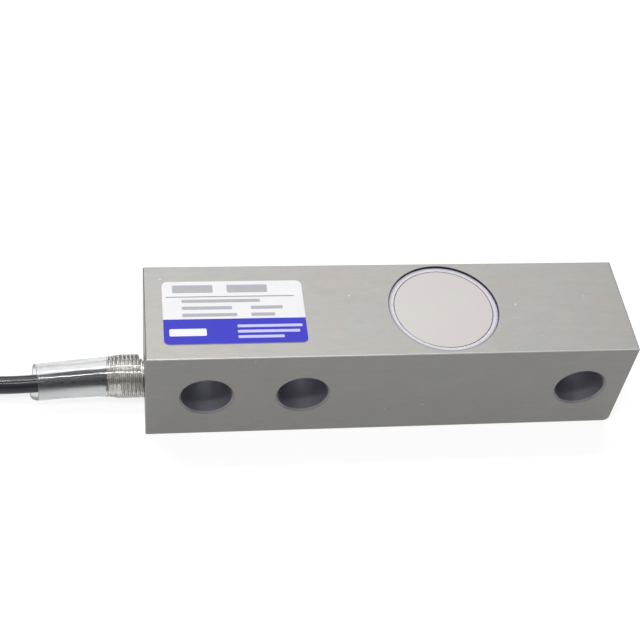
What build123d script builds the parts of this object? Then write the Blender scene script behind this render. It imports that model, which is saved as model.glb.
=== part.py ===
from build123d import *
from math import cos, dist, pi, radians, sin, tan
import os

os.makedirs("parts", exist_ok=True)

# A shear beam load cell that lies on one side face with its label up.
# X runs from the cable end to the loading end, Y along the bolt holes, Z up.
# The origin is on the resting face, midway between the two fixing holes.

# Beam
body_length = 130.0
body_width = 31.8
body_height = 31.8
corner_round = 0.4
heel_round = 1.8
edge_round = 0.3

# Bolt holes, straight through the beam
hole_dia = 13.5
hole_break = 0.4
first_hole_from_end = 15.8
fixing_spacing = 25.4
load_hole_from_end = 12.6

# Gauge pockets, one from each side face, with the shear web between them
pocket_dia = 24.0
web_thickness = 5.0
recess_dia = 29.8
cover_dia = 26.8
cover_thickness = 1.0
cover_sink = 0.55
cover_edge = 0.15
weld_wall_drop = 0.45
weld_dip = 0.2
weld_gap = 0.05

# Cable gland: a threaded nipple in the cable end, beside the row of bolt holes
gland_y = -0.8
gland_z = 6.4
thread_dia = 9.5
thread_pitch = 1.06
thread_depth = 0.55
thread_gap = 0.05
nipple_reach = 10.3
nipple_screwed = 6.0
nipple_bore = 5.4
nipple_chamfer = 0.5
spanner_width = 8.5
spanner_length = 4.05
spanner_turn = 8.0
port_depth = 9.0
port_chamfer = 0.3
passage_dia = 3.6
seal_gap = 0.1

# Clear sleeve pushed over the thread, cut off by hand at both ends
sleeve_thread_dia = 11.76
sleeve_free_dia = 9.94
sleeve_wall = 1.1
sleeve_near_x = 0.84
sleeve_far_x = 29.4
sleeve_far_y = -1.2
sleeve_far_z = 5.1
sleeve_near_cut = (0.091, 0.072)
sleeve_far_cut = (0.307, -0.186)
sleeve_mouth_shrink = 0.28
sleeve_taper = 0.2
sleeve_past_cut = 1.12

# Cable and the hank that its put-away length is folded into
cable_dia = 4.9
cable_in_gland = 8.0
hank_end_x = -82.5
hank_y = 0.3
hank_straight = 30.0
hank_inner_bend = 15.0
hank_pitch = 5.0
hank_columns = 3
hank_rows = 5
tie_thickness = 0.6
tie_width = 4.0
tie_gap = 0.3
hank_lift_from = 8.0
hank_lift_to = 26.0

# Leads at the cable's free end and the shrink sleeve that they come out of
lead_dia = 1.2
lead_tip_dia = 0.6
lead_tip_length = 5.0
lead_circle = 1.7
lead_spread = 1.8
lead_straight = 2.0
lead_fan = 12.0
lead_rest = 5.0
lead_gap = 0.1
lead_colours = ["green", "yellow", "red", "shield", "white", "black", "blue"]
shrink_dia = 5.5
shrink_length = 8.0
shrink_gap = 0.05
jacket_end_x = -1.0

# Cores inside the beam, from the cable to the bridge board
core_dia = 0.8
core_circle = 1.15
core_colours = ["blue", "black", "white", "red", "yellow", "green"]

# Strain gauges, terminals and bridge board on the web
gauge_length = 8.4
gauge_width = 7.6
backing_thickness = 0.15
foil_thickness = 0.1
grid_bars = 5
grid_bar_length = 3.4
grid_bar_width = 0.32
grid_pitch = 0.55
grid_offset = 2.1
ribbon_width = 0.4
ribbon_spacing = 1.5
ribbon_root = 0.5
ribbon_short = 0.35
strip_length = 7.0
strip_width = 2.0
strip_thickness = 0.4
strip_y = 6.3
board_x = 7.4
board_length = 13.0
board_width = 4.0
board_thickness = 0.8
pad_row_x = 1.3
core_pad_spacing = 2.0
jumper_pad_spacing = 1.4
jumper_pad_y = 1.4
chip_length = 2.0
chip_width = 1.2
chip_thickness = 0.55
chip_spacing = 3.5
jumper_dia = 0.5
jumper_step = 0.62
jumper_rise = 1.0
jumper_level = 0.7
web_hole_dia = 2.8
web_hole_y = 9.0

# Label, bare of print
label_length = 37.0
label_width = 21.4
label_corner = 1.6
label_thickness = 0.12
label_from_end = 4.75
label_y = -0.4

# Places worked out from the sizes above
cable_end_x = -(first_hole_from_end + fixing_spacing / 2)
load_end_x = cable_end_x + body_length
body_mid_x = (cable_end_x + load_end_x) / 2
mid_z = body_height / 2
fixing_holes_x = [-fixing_spacing / 2, fixing_spacing / 2]
load_hole_x = load_end_x - load_hole_from_end
gauge_x = (fixing_holes_x[1] + load_hole_x) / 2
seat_z = body_height - cover_sink - cover_thickness
web_front_z = mid_z + web_thickness / 2
web_rear_z = mid_z - web_thickness / 2
mid_plane = Plane.XY.offset(mid_z)

gland_plane = Plane(
    origin=(cable_end_x, gland_y, gland_z), x_dir=(-1, 0, 0), z_dir=(0, 1, 0)
)
gland_axis = Axis(gland_plane.origin, gland_plane.x_dir)


def section_at(x_in):
    """A plane across the gland's axis, facing inwards, x_in inside the beam's cable end."""
    return Plane(origin=(cable_end_x + x_in, gland_y, gland_z), z_dir=(1, 0, 0))


def bend_radii(points):
    """The largest arc that each corner's two runs allow."""
    radii = []
    for before, here, after in zip(points, points[1:], points[2:]):
        turn = (Vector(here) - Vector(before)).get_angle(Vector(after) - Vector(here))
        run = min(dist(before, here), dist(here, after))
        radii.append(0.45 * run / tan(radians(turn) / 2))
    return radii


def round_wire(points, diameter):
    """A round wire along straight runs joined by tangent arcs."""
    with BuildPart() as wire:
        with BuildLine() as path:
            FilletPolyline(*points, radius=bend_radii(points))
        with BuildSketch(Plane(origin=path.line @ 0, z_dir=path.line % 0)):
            Circle(diameter / 2)
        sweep(path=path.line)
    return wire


# Beam: its side profile, extruded along the bolt holes
with BuildPart() as beam_body:
    with BuildSketch(Plane.XZ) as side:
        with Locations((body_mid_x, mid_z)):
            Rectangle(body_length, body_height)
        heel = side.vertices().group_by(Axis.X)[-1].sort_by(Axis.Y)[0]
        others = [corner for corner in side.vertices() if corner != heel]
        fillet(others, corner_round)
        heel = side.vertices().group_by(Axis.Y)[0].sort_by(Axis.X)[-1]
        fillet(heel, heel_round)
    extrude(amount=body_width / 2, both=True)
    fillet(beam_body.faces().filter_by(Axis.Y).edges(), edge_round)

    # Two fixing holes and the load hole
    for hole_x in [*fixing_holes_x, load_hole_x]:
        with BuildSketch(Plane.XZ):
            with Locations((hole_x, mid_z)):
                Circle(hole_dia / 2)
        extrude(amount=body_width, both=True, mode=Mode.SUBTRACT)
    hole_rims = (
        beam_body.faces().filter_by(Axis.Y).edges().filter_by(GeomType.CIRCLE)
        .filter_by(lambda rim: abs(rim.radius - hole_dia / 2) < 0.01)
    )
    chamfer(hole_rims, hole_break)

    # Gauge pocket and cover recess of the label side, then of the resting side
    with BuildSketch(Plane.XY.offset(web_front_z)):
        with Locations((gauge_x, 0)):
            Circle(pocket_dia / 2)
    extrude(amount=body_height - web_front_z, mode=Mode.SUBTRACT)
    with BuildSketch(Plane.XY.offset(seat_z)):
        with Locations((gauge_x, 0)):
            Circle(recess_dia / 2)
    extrude(amount=body_height - seat_z, mode=Mode.SUBTRACT)
    with BuildSketch(Plane.XY):
        with Locations((gauge_x, 0)):
            Circle(pocket_dia / 2)
    extrude(amount=web_rear_z, mode=Mode.SUBTRACT)
    with BuildSketch(Plane.XY):
        with Locations((gauge_x, 0)):
            Circle(recess_dia / 2)
    extrude(amount=body_height - seat_z, mode=Mode.SUBTRACT)

    # Wire hole through the web
    with BuildSketch(mid_plane):
        with Locations((gauge_x, web_hole_y)):
            Circle(web_hole_dia / 2)
    extrude(amount=web_thickness, both=True, mode=Mode.SUBTRACT)

    # Gland port and the wire passage that passes below the bolt holes
    with BuildSketch(section_at(0)):
        Circle(thread_dia / 2 + thread_gap)
    extrude(amount=port_depth, mode=Mode.SUBTRACT)
    port_rim = (
        beam_body.faces().sort_by(Axis.X)[0].edges().filter_by(GeomType.CIRCLE)
        .filter_by(lambda rim: rim.radius < thread_dia)
        .sort_by(Axis.X)[0]
    )
    chamfer(port_rim, port_chamfer)
    with BuildSketch(section_at(port_depth)):
        Circle(passage_dia / 2)
    extrude(amount=gauge_x - cable_end_x - port_depth - pocket_dia / 4, mode=Mode.SUBTRACT)
beam_body.part.label = "beam_body"
export_step(beam_body.part, "parts/beam_body.step")

# Cover of the label side, a thin steel disc on the ledge of its recess
with BuildPart() as front_cover:
    with BuildSketch(Plane.XY.offset(seat_z)):
        with Locations((gauge_x, 0)):
            Circle(cover_dia / 2)
    extrude(amount=cover_thickness)
    chamfer(front_cover.faces().sort_by(Axis.Z)[-1].edges(), cover_edge)
front_cover.part.label = "front_cover"
export_step(front_cover.part, "parts/front_cover.step")

# Weld bead round the cover, hollow on top, between the disc's edge and the recess wall
with BuildPart() as front_cover_weld:
    with BuildSketch(Plane.XZ):
        with BuildLine():
            inner_r = cover_dia / 2 + weld_gap
            outer_r = recess_dia / 2 - weld_gap
            bead_in = (gauge_x + inner_r, body_height - cover_sink)
            bead_out = (gauge_x + outer_r, body_height - weld_wall_drop)
            bead_mid = ((bead_in[0] + bead_out[0]) / 2, bead_in[1] - weld_dip)
            ThreePointArc(bead_in, bead_mid, bead_out)
            Polyline(
                bead_out,
                (gauge_x + outer_r, seat_z),
                (gauge_x + inner_r, seat_z),
                bead_in,
            )
        make_face()
    revolve(axis=Axis((gauge_x, 0, 0), (0, 0, 1)))
front_cover_weld.part.label = "front_cover_weld"
export_step(front_cover_weld.part, "parts/front_cover_weld.step")

# The resting side has the same cover and bead
for name, twin in [("rear_cover", front_cover), ("rear_cover_weld", front_cover_weld)]:
    with BuildPart() as rear_piece:
        add(mirror(twin.part, about=mid_plane, mode=Mode.PRIVATE))
    rear_piece.part.label = name
    export_step(rear_piece.part, f"parts/{name}.step")

# Label on the top face
with BuildPart() as rating_label:
    with BuildSketch(Plane.XY.offset(body_height)):
        with Locations((cable_end_x + label_from_end + label_length / 2, label_y)):
            RectangleRounded(label_length, label_width, label_corner)
    extrude(amount=label_thickness)
rating_label.part.label = "rating_label"
export_step(rating_label.part, "parts/rating_label.step")

# Nipple: a threaded tube with two spanner flats at its mouth
crest_r = thread_dia / 2
thread_count = int((nipple_reach + nipple_screwed - 2 * nipple_chamfer) / thread_pitch)
with BuildPart() as cable_nipple:
    with BuildSketch(gland_plane):
        with BuildLine():
            outline = [
                (-nipple_screwed, nipple_bore / 2),
                (nipple_reach, nipple_bore / 2),
                (nipple_reach, crest_r - nipple_chamfer),
            ]
            for turn in range(thread_count):
                crest_x = nipple_reach - nipple_chamfer - turn * thread_pitch
                outline += [
                    (crest_x, crest_r),
                    (crest_x - thread_pitch / 5, crest_r),
                    (crest_x - 3 * thread_pitch / 5, crest_r - thread_depth),
                ]
            outline += [(-nipple_screwed, crest_r - thread_depth)]
            Polyline(*outline, close=True)
        make_face()
    revolve(axis=gland_axis)
    flat_normal = (0, -cos(radians(spanner_turn)), sin(radians(spanner_turn)))
    mouth = Plane(
        origin=(cable_end_x - nipple_reach, gland_y, gland_z),
        x_dir=flat_normal,
        z_dir=(1, 0, 0),
    )
    with BuildSketch(mouth):
        Rectangle(2 * thread_dia, 2 * thread_dia)
        Rectangle(spanner_width, 2 * thread_dia, mode=Mode.SUBTRACT)
    extrude(amount=spanner_length, mode=Mode.SUBTRACT)
cable_nipple.part.label = "cable_nipple"
export_step(cable_nipple.part, "parts/cable_nipple.step")

# Rubber seal that the nipple presses against the floor of the port
with BuildPart() as gland_seal:
    with BuildSketch(section_at(nipple_screwed)):
        Circle(thread_dia / 2 - seal_gap)
        Circle(cable_dia / 2 + seal_gap, mode=Mode.SUBTRACT)
    extrude(amount=port_depth - nipple_screwed)
gland_seal.part.label = "gland_seal"
export_step(gland_seal.part, "parts/gland_seal.step")

# Clear sleeve: wide over the thread, narrow beyond it and drooping with the cable
sleeve_far_end = Vector(cable_end_x - sleeve_far_x, sleeve_far_y, sleeve_far_z)
droop = sleeve_far_end - mouth.origin
sleeve_planes = [section_at(0), section_at(-nipple_reach / 2), section_at(-nipple_reach - thread_gap)]
for share in (sleeve_taper, sleeve_past_cut):
    sleeve_planes.append(Plane(origin=mouth.origin + droop * share, z_dir=droop))
thread_r = sleeve_thread_dia / 2
free_r = sleeve_free_dia / 2
outer_radii = [thread_r, thread_r, thread_r - sleeve_mouth_shrink, free_r, free_r]
bore_r = thread_dia / 2 + thread_gap
inner_radii = [bore_r, bore_r, bore_r, free_r - sleeve_wall, free_r - sleeve_wall]
with BuildPart() as clear_sleeve:
    for plane, radius in zip(sleeve_planes, outer_radii):
        with BuildSketch(plane):
            Circle(radius)
    loft(ruled=True)
    for plane, radius in zip(sleeve_planes, inner_radii):
        with BuildSketch(plane):
            Circle(radius)
    loft(ruled=True, mode=Mode.SUBTRACT)
    near_cut = Plane(origin=section_at(-sleeve_near_x).origin, z_dir=(1, *sleeve_near_cut))
    far_cut = Plane(origin=sleeve_far_end, z_dir=(1, *sleeve_far_cut))
    split(bisect_by=near_cut, keep=Keep.BOTTOM)
    split(bisect_by=far_cut, keep=Keep.TOP)
clear_sleeve.part.label = "clear_sleeve"
export_step(clear_sleeve.part, "parts/clear_sleeve.step")

# Cable: from the seal out through the nipple, down to the surface and along it to the hank
cable_route = [
    (cable_end_x + cable_in_gland, gland_y, gland_z),
    (-40.5, gland_y, gland_z),
    (-59.5, -1.1, 3.9),
    (-73.5, hank_y, 2.5),
    (-80.5, hank_y, 2.5),
]
cable = round_wire(cable_route, cable_dia)
cable.part.label = "cable"
export_step(cable.part, "parts/cable.step")

# Hank: an oblong coil with an open middle, its near end lifted over the incoming cable
inner_r = hank_inner_bend - hank_pitch / 2
outer_r = inner_r + hank_columns * hank_pitch
hank_x = hank_end_x - outer_r - hank_straight / 2
hank_far_x = hank_x - outer_r - hank_straight / 2
hank_top = tie_thickness + hank_rows * hank_pitch
lift_from = hank_x + hank_lift_from
lift_to = hank_x + hank_lift_to
lifted_top = hank_top + hank_pitch
lead_x = hank_x + jacket_end_x
lead_y = hank_y - hank_inner_bend - hank_pitch
lead_level = hank_top + shrink_dia / 2 + lead_gap
with BuildPart() as cable_hank:
    with BuildSketch(Plane.XY):
        with Locations((hank_x, hank_y)):
            SlotCenterToCenter(hank_straight, 2 * outer_r)
            SlotCenterToCenter(hank_straight, 2 * inner_r, mode=Mode.SUBTRACT)
    extrude(amount=2 * hank_top)
    with BuildSketch(Plane.XZ):
        with BuildLine():
            Polyline(
                (hank_far_x, tie_thickness),
                (lift_from, tie_thickness),
                (lift_to, tie_thickness + hank_pitch),
                (hank_end_x, tie_thickness + hank_pitch),
                (hank_end_x, lifted_top),
                (lift_to, lifted_top),
                (lift_from, hank_top),
                (hank_far_x, hank_top),
                close=True,
            )
        make_face()
    extrude(amount=2 * outer_r, both=True, mode=Mode.INTERSECT)
    # The first stretch, which comes in under the near end and joins the side on the floor
    entry = [
        cable_route[-1],
        (hank_x + hank_straight / 2, hank_y, cable_route[-1][2]),
        (hank_x - hank_straight / 6, hank_y - inner_r - hank_pitch / 4, cable_route[-1][2]),
    ]
    with BuildLine() as entry_path:
        FilletPolyline(*entry, radius=3 * cable_dia)
    with BuildSketch(Plane(origin=entry[0], z_dir=(-1, 0, 0))):
        Circle(cable_dia / 2)
    sweep(path=entry_path.line)
    # The last stretch, which ends on top of the other side
    with BuildSketch(Plane(origin=(lead_x, lead_y, lead_level), z_dir=(1, 0, 0))):
        Circle(cable_dia / 2)
    extrude(amount=lift_to - lead_x)
cable_hank.part.label = "cable_hank"
export_step(cable_hank.part, "parts/cable_hank.step")

# Ties: one round the far side's bundle, one round the far end's
with BuildPart() as side_tie:
    with BuildSketch(Plane.YZ.offset(hank_x)):
        with Locations((hank_y + (inner_r + outer_r) / 2, (hank_top + tie_thickness) / 2)):
            bundle_width = outer_r - inner_r + 2 * tie_gap
            bundle_height = hank_top - tie_thickness
            Rectangle(bundle_width + 2 * tie_thickness, bundle_height + 2 * tie_thickness)
            Rectangle(bundle_width, bundle_height, mode=Mode.SUBTRACT)
    extrude(amount=tie_width / 2, both=True)
side_tie.part.label = "side_tie"
export_step(side_tie.part, "parts/side_tie.step")
with BuildPart() as end_tie:
    with BuildSketch(Plane.XZ.offset(-hank_y)):
        with Locations((hank_far_x + (outer_r - inner_r) / 2, (hank_top + tie_thickness) / 2)):
            Rectangle(bundle_width + 2 * tie_thickness, bundle_height + 2 * tie_thickness)
            Rectangle(bundle_width, bundle_height, mode=Mode.SUBTRACT)
    extrude(amount=tie_width / 2, both=True)
end_tie.part.label = "end_tie"
export_step(end_tie.part, "parts/end_tie.step")

# Shrink sleeve over the end of the jacket
with BuildPart() as shrink_sleeve:
    with BuildSketch(Plane(origin=(lead_x, lead_y, lead_level), z_dir=(1, 0, 0))):
        Circle(shrink_dia / 2)
        Circle(cable_dia / 2 + shrink_gap, mode=Mode.SUBTRACT)
    extrude(amount=shrink_length)
shrink_sleeve.part.label = "shrink_sleeve"
export_step(shrink_sleeve.part, "parts/shrink_sleeve.step")

# Leads: six insulated wires round a shield wire, fanned out on the hank with bare tips
lead_starts = [
    (cos(radians(angle)) * lead_circle, sin(radians(angle)) * lead_circle)
    for angle in (210, 150, 270, 30, 330)
]
lead_starts = lead_starts[:3] + [(0, 0), (0, lead_circle)] + lead_starts[3:]
lead_rest_z = hank_top + lead_dia / 2 + lead_gap
for place, (colour, (start_y, start_z)) in enumerate(zip(lead_colours, lead_starts)):
    rest_y = lead_y + (place - 3) * lead_spread
    lead_route = [
        (lead_x, lead_y + start_y, lead_level + start_z),
        (lead_x - lead_straight, lead_y + start_y, lead_level + start_z),
        (lead_x - lead_straight - lead_fan, rest_y, lead_rest_z),
        (lead_x - lead_straight - lead_fan - lead_rest, rest_y, lead_rest_z),
    ]
    with BuildPart() as lead:
        with BuildLine() as lead_path:
            FilletPolyline(*lead_route, radius=bend_radii(lead_route))
        with BuildSketch(Plane(origin=lead_route[0], z_dir=(-1, 0, 0))):
            Circle(lead_dia / 2)
        sweep(path=lead_path.line)
        with BuildSketch(Plane(origin=lead_route[-1], z_dir=(-1, 0, 0))):
            Circle(lead_tip_dia / 2)
        extrude(amount=lead_tip_length)
    lead.part.label = f"lead_{colour}"
    export_step(lead.part, f"parts/lead_{colour}.step")


def gauge_solid(face_z, outward, strip_side):
    """A shear gauge on the web: a backing with two foil grids and the ribbons to its terminals."""
    backing_z = face_z + outward * backing_thickness
    strip_top = face_z + outward * strip_thickness
    ribbon_from = gauge_width / 2 - ribbon_root
    strip_edge = strip_y - strip_width / 2
    ribbon_to = strip_y - ribbon_short
    with BuildPart() as gauge:
        with BuildSketch(Plane.XY.offset(face_z)):
            with Locations((gauge_x, 0)):
                Rectangle(gauge_length, gauge_width)
        extrude(amount=outward * backing_thickness)
        with BuildSketch(Plane.XY.offset(backing_z)):
            for slant in (-1, 1):
                with Locations(Location((gauge_x + slant * grid_offset, 0), slant * 45)):
                    with GridLocations(0, grid_pitch, 1, grid_bars):
                        Rectangle(grid_bar_length, grid_bar_width)
                    with GridLocations(grid_bar_length - grid_bar_width, 0, 2, 1):
                        Rectangle(grid_bar_width, grid_pitch * grid_bars)
        extrude(amount=outward * foil_thickness)
        with BuildSketch(Plane.XY.offset(backing_z)):
            with Locations((gauge_x, strip_side * (ribbon_from + strip_edge) / 2)):
                with GridLocations(ribbon_spacing, 0, 4, 1):
                    Rectangle(ribbon_width, strip_edge - ribbon_from)
        extrude(amount=outward * (strip_thickness - backing_thickness + foil_thickness))
        with BuildSketch(Plane.XY.offset(strip_top)):
            with Locations((gauge_x, strip_side * (ribbon_from + ribbon_to) / 2)):
                with GridLocations(ribbon_spacing, 0, 4, 1):
                    Rectangle(ribbon_width, ribbon_to - ribbon_from)
        extrude(amount=outward * foil_thickness)
    return gauge


def terminal_strip(face_z, outward, strip_side):
    """A small insulating strip where the gauge's ribbons are soldered to their jumpers."""
    with BuildPart() as strip:
        with BuildSketch(Plane.XY.offset(face_z)):
            with Locations((gauge_x, strip_side * strip_y)):
                Rectangle(strip_length, strip_width)
        extrude(amount=outward * strip_thickness)
    return strip


# A gauge and its terminals on each face of the web
web_sides = [("front", web_front_z, 1, 1), ("rear", web_rear_z, -1, -1)]
for side_name, face_z, outward, strip_side in web_sides:
    gauge = gauge_solid(face_z, outward, strip_side)
    gauge.part.label = f"{side_name}_gauge"
    export_step(gauge.part, f"parts/{side_name}_gauge.step")
    strip = terminal_strip(face_z, outward, strip_side)
    strip.part.label = f"{side_name}_terminals"
    export_step(strip.part, f"parts/{side_name}_terminals.step")

# Bridge board in the rear pocket, where the cable's cores and the gauges meet
board_face_z = web_rear_z - board_thickness
with BuildPart() as bridge_board:
    with BuildSketch(Plane.XY.offset(board_face_z)):
        with Locations((gauge_x - board_x, 0)):
            Rectangle(board_width, board_length)
    extrude(amount=board_thickness)
bridge_board.part.label = "bridge_board"
export_step(bridge_board.part, "parts/bridge_board.step")

# Trim resistors on the bridge board
for place, name in enumerate(["zero_resistor", "span_resistor", "balance_resistor"]):
    with BuildPart() as chip:
        with BuildSketch(Plane.XY.offset(board_face_z)):
            with Locations((gauge_x - board_x, (place - 1) * chip_spacing)):
                Rectangle(chip_width, chip_length)
        extrude(amount=-chip_thickness)
    chip.part.label = name
    export_step(chip.part, f"parts/{name}.step")

# Cores: six wires from the cable's end along the passage, each to its pad on the board
core_angles = [210, 150, 270, 90, 30, 330]
for place, (colour, angle) in enumerate(zip(core_colours, core_angles)):
    core_y = gland_y + core_circle * cos(radians(angle))
    core_z = gland_z + core_circle * sin(radians(angle))
    pad = (gauge_x - board_x - pad_row_x, (place - 2.5) * core_pad_spacing)
    core = round_wire(
        [
            (cable_end_x + cable_in_gland, core_y, core_z),
            (gauge_x - pocket_dia / 2 + core_dia, core_y, core_z),
            (*pad, board_face_z - 3 * core_dia),
            (*pad, board_face_z),
        ],
        core_dia,
    )
    core.part.label = f"core_{colour}"
    export_step(core.part, f"parts/core_{colour}.step")

# Jumpers: four wires from the front terminals through the web to the bridge board,
# and four from the rear terminals along the web to it, each at its own level
strip_top_z = web_front_z + strip_thickness
strip_low_z = web_rear_z - strip_thickness
for place in range(4):
    step = place - 1.5
    pad_x = gauge_x + step * ribbon_spacing
    hole_x = gauge_x + step * jumper_step
    level = board_face_z - jumper_rise - place * jumper_level
    board_pad_x = gauge_x - board_x + pad_row_x
    board_pad_y = jumper_pad_y + (3 - place) * jumper_pad_spacing
    front_route = [
        (pad_x, strip_y, strip_top_z),
        (pad_x, strip_y, strip_top_z + jumper_rise),
        (hole_x, web_hole_y, strip_top_z + jumper_rise + jumper_dia),
        (hole_x, web_hole_y, level),
        (board_pad_x, board_pad_y, level),
        (board_pad_x, board_pad_y, board_face_z),
    ]
    rear_route = [
        (pad_x, -strip_y, strip_low_z),
        (pad_x, -strip_y, level),
        (board_pad_x, -board_pad_y, level),
        (board_pad_x, -board_pad_y, board_face_z),
    ]
    for side_name, route in [("front", front_route), ("rear", rear_route)]:
        jumper = round_wire(route, jumper_dia)
        jumper.part.label = f"jumper_{side_name}_{place + 1}"
        export_step(jumper.part, f"parts/jumper_{side_name}_{place + 1}.step")

cable_length = cable.part.volume / (pi * (cable_dia / 2) ** 2)
print("cable radii", [round(radius, 1) for radius in bend_radii(cable_route)])
print("cable tube length from its volume", round(cable_length, 2))
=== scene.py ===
from math import cos, pi, radians, sin, tan

import bpy
from mathutils import Matrix, Vector


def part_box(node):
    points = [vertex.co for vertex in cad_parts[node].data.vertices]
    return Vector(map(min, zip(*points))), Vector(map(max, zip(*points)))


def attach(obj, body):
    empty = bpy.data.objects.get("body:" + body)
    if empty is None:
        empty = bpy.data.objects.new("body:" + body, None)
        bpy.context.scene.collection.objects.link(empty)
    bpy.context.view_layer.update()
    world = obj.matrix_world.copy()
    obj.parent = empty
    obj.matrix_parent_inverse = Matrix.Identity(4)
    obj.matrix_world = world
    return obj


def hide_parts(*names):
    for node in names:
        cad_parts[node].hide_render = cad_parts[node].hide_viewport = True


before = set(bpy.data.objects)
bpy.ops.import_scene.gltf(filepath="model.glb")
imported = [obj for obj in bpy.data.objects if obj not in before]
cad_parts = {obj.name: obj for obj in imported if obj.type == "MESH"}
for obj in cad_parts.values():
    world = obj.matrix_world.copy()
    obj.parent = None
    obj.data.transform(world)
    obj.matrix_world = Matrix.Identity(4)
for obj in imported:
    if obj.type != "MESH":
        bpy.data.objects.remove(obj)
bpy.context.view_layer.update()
bpy.ops.object.select_all(action="DESELECT")

# A shear beam load cell on a pale floor, label up. Metres; X runs from the cable end to
# the loading end, Y along the bolt holes, Z up.

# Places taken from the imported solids
beam_low, beam_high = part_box("beam_body")
cover_low, cover_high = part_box("front_cover")
bead_base_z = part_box("front_cover_weld")[0].z
label_low, label_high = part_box("rating_label")
cable_end_x = beam_low.x
mid_z = (beam_low.z + beam_high.z) / 2
gauge_x = (cover_low.x + cover_high.x) / 2

# Bolt holes along the beam, the cover's recess and the weld bead in it
hole_places = (-0.0127, 0.0127, 0.0889)
hole_dia = 0.0135
countersink = 0.0004
recess_dia = 0.0298
bead_inner_r = 0.01345
bead_outer_r = 0.01485
bead_inner_depth = 0.0006
bead_outer_depth = 0.0005

# Gland
gland_y = -0.0008
gland_z = 0.0064
thread_dia = 0.0095
thread_pitch = 0.00106
thread_depth = 0.00058
nipple_reach = 0.0103
nipple_screwed = 0.006
nipple_bore = 0.0054
spanner_width = 0.0085
spanner_length = 0.00405
spanner_turn = radians(8.0)

# Cable and hank
cable_dia = 0.0049
hank_x = -0.125
hank_y = 0.0003
hank_straight = 0.030
hank_inner_bend = 0.015
hank_pitch = 0.005
hank_columns = 3
hank_rows = 5
hank_lift_from = 0.008
hank_lift_to = 0.026
tie_thickness = 0.0006
tie_width = 0.004
tie_across = 0.0168
tie_high = 0.0262
last_y = -0.0197
last_z = 0.02845
jacket_end_x = -0.126
bare_tip = 0.005

# Patterns and finishes are worked out in millimetres
to_mm = 1000


def smooth_share(low, high, value):
    """0 below low, 1 above high, and a soft step between them."""
    share = min(max((value - low) / (high - low), 0.0), 1.0)
    return share * share * (3 - 2 * share)


def between(first, second, share):
    """The value that lies at a share of the way from first to second."""
    return first + (second - first) * share


# Camera: the photograph's place, found from the beam's edges and holes
camera_turn = (
    Matrix.Rotation(radians(-13.292), 3, "Z")
    @ Matrix.Rotation(radians(90 - 48.822), 3, "X")
    @ Matrix.Rotation(radians(9.070), 3, "Z")
)
bpy.ops.object.camera_add(
    location=(-0.033459, -0.216998, 0.282385), rotation=camera_turn.to_euler()
)
camera = bpy.context.object
camera.data.sensor_width = 36.0
camera.data.lens = 71.74
bpy.context.scene.camera = camera
bpy.context.scene.view_settings.view_transform = "Standard"


def linear(hex_colour):
    """An sRGB hex colour as linear red, green, blue and alpha."""
    parts = [int(hex_colour[place:place + 2], 16) / 255 for place in (1, 3, 5)]
    return [*(p / 12.92 if p <= 0.04045 else ((p + 0.055) / 1.055) ** 2.4 for p in parts), 1.0]


def add_node(tree, kind, inputs=None, **settings):
    """Adds a node. An input takes a value, or the output that feeds it."""
    made = tree.nodes.new(kind)
    for name, value in settings.items():
        setattr(made, name, value)
    for key, value in (inputs or {}).items():
        if isinstance(value, bpy.types.NodeSocket):
            tree.links.new(value, made.inputs[key])
        else:
            made.inputs[key].default_value = value
    return made


def start_material(name, metallic, roughness):
    """A new material: its tree, its shader and its place in millimetres."""
    material = bpy.data.materials.new(name)
    material.use_nodes = True
    tree = material.node_tree
    shader = tree.nodes["Principled BSDF"]
    shader.inputs["Metallic"].default_value = metallic
    shader.inputs["Roughness"].default_value = roughness
    place = add_node(tree, "ShaderNodeTexCoord").outputs["Object"]
    scaled = add_node(tree, "ShaderNodeMapping", {"Vector": place, "Scale": (to_mm, to_mm, to_mm)})
    return material, tree, shader, scaled.outputs["Vector"]


def noise(tree, vector, stretch, scale, detail):
    """Noise of a given scale per millimetre, stretched by a factor along each axis."""
    mapped = add_node(tree, "ShaderNodeMapping", {"Vector": vector, "Scale": stretch})
    texture = add_node(
        tree, "ShaderNodeTexNoise",
        {"Vector": mapped.outputs["Vector"], "Scale": scale, "Detail": detail},
    )
    return texture.outputs["Fac"]


def mix_colours(tree, share, first, second):
    """One colour output from two colours, each a hex value or an output."""
    made = add_node(tree, "ShaderNodeMix", data_type="RGBA")
    for socket, value in ((made.inputs[0], share), (made.inputs[6], first), (made.inputs[7], second)):
        if isinstance(value, bpy.types.NodeSocket):
            tree.links.new(value, socket)
        else:
            socket.default_value = linear(value) if isinstance(value, str) else value
    return made.outputs[2]


def ranged(tree, value, low, high, from_low=0.0, from_high=1.0):
    """A value moved from one range to another."""
    made = add_node(
        tree, "ShaderNodeMapRange",
        {"Value": value, "From Min": from_low, "From Max": from_high, "To Min": low, "To Max": high},
    )
    return made.outputs["Result"]


def maths(tree, operation, first, second=0.0):
    """One step of arithmetic on one or two values."""
    return add_node(tree, "ShaderNodeMath", {0: first, 1: second}, operation=operation).outputs[0]


def bump(tree, shader, height, depth_mm, strength):
    """Relief of a given depth on the shader's normal."""
    made = add_node(
        tree, "ShaderNodeBump",
        {"Height": height, "Distance": depth_mm / to_mm, "Strength": strength},
    )
    tree.links.new(made.outputs["Normal"], shader.inputs["Normal"])


def axis_distance(tree, place, centre, across):
    """Distance in mm from a line through centre; across is 1 for each axis that it doesn't run along."""
    moved = add_node(tree, "ShaderNodeVectorMath", {0: place, 1: centre}, operation="SUBTRACT")
    flat = add_node(tree, "ShaderNodeVectorMath", {0: moved.outputs[0], 1: across}, operation="MULTIPLY")
    measured = add_node(tree, "ShaderNodeVectorMath", {0: flat.outputs[0]}, operation="LENGTH")
    return measured.outputs["Value"]


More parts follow.
